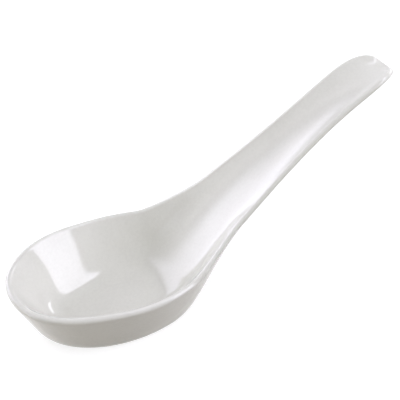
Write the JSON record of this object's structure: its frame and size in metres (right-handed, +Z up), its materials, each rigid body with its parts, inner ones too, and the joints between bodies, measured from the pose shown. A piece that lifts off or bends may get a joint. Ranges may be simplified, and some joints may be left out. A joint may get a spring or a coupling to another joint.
{
  "type": "soup spoon",
  "caption": "Flat-bottomed soup spoon: an oval bowl with flared sides and a trough-shaped handle that rises from it and bends over at its end, for eating and sipping soup.",
  "frame": {"origin": "on the plane of the flat base, under the widest part of the bowl, in the middle of its width", "axes": "+X from the bowl towards the end of the handle, +Y across the spoon, +Z up from the table"},
  "size_m": [0.1327, 0.0454, 0.0596],
  "materials": {
    "body": "gloss"
  },
  "bodies": {
    "root": {"bowl_floor": "body", "bowl_wall": "body", "neck": "body", "handle": "body", "handle_tip": "body"}
  },
  "joints": []
}
